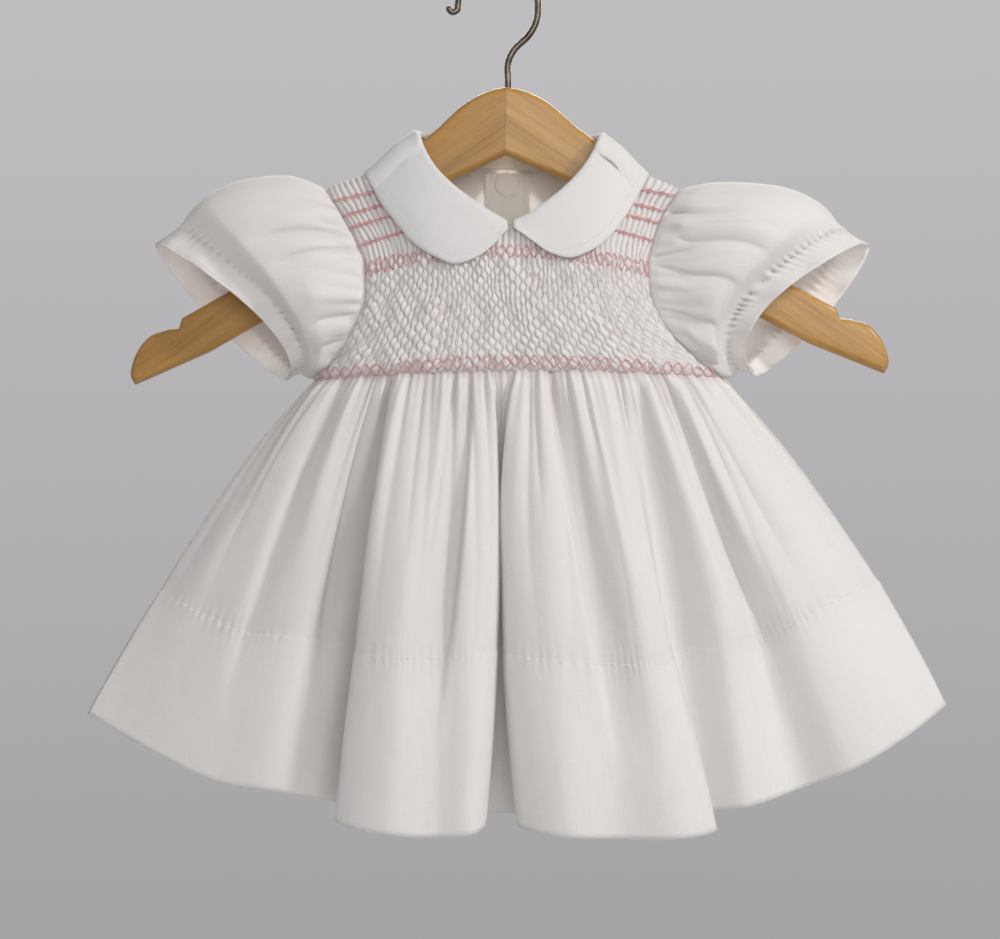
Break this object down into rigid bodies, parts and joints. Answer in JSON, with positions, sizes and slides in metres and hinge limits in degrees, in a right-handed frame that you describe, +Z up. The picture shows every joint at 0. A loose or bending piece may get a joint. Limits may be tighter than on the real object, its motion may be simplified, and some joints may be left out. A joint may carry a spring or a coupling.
{
  "type": "smocked dress on a hanger",
  "caption": "Baby's short-sleeved dress with a smocked bodice, round collar and gathered skirt, hung on a contoured wooden hanger with a wire hook.",
  "frame": {"origin": "inner top of the hook, where a rail or peg carries it", "axes": "+X to the right seen from the front, +Y from the front of the dress to its back, +Z up"},
  "size_m": [0.3962, 0.1081, 0.3971],
  "materials": {
    "lawn": "fine semi-sheer white cotton, smocked and gathered",
    "collar_cloth": "double white cotton, pressed smooth",
    "pearl": "cream pearl, soft gloss",
    "maple": "golden varnished wood, semi-gloss",
    "pewter": "dark bronzed wire, satin"
  },
  "bodies": {
    "root": {"front": "lawn", "back_bodice_left": "lawn", "back_bodice_right": "lawn", "back_skirt": "lawn", "sleeve_left": "lawn", "sleeve_right": "lawn", "collar_left": "collar_cloth", "collar_right": "collar_cloth", "placket_overlap": "lawn", "placket_underlap": "lawn", "neck_binding": "lawn", "button_top": "pearl", "button_middle": "pearl", "button_bottom": "pearl", "hanger_arm_left": "maple", "hanger_arm_right": "maple", "hanger_hook": "pewter"}
  },
  "joints": []
}
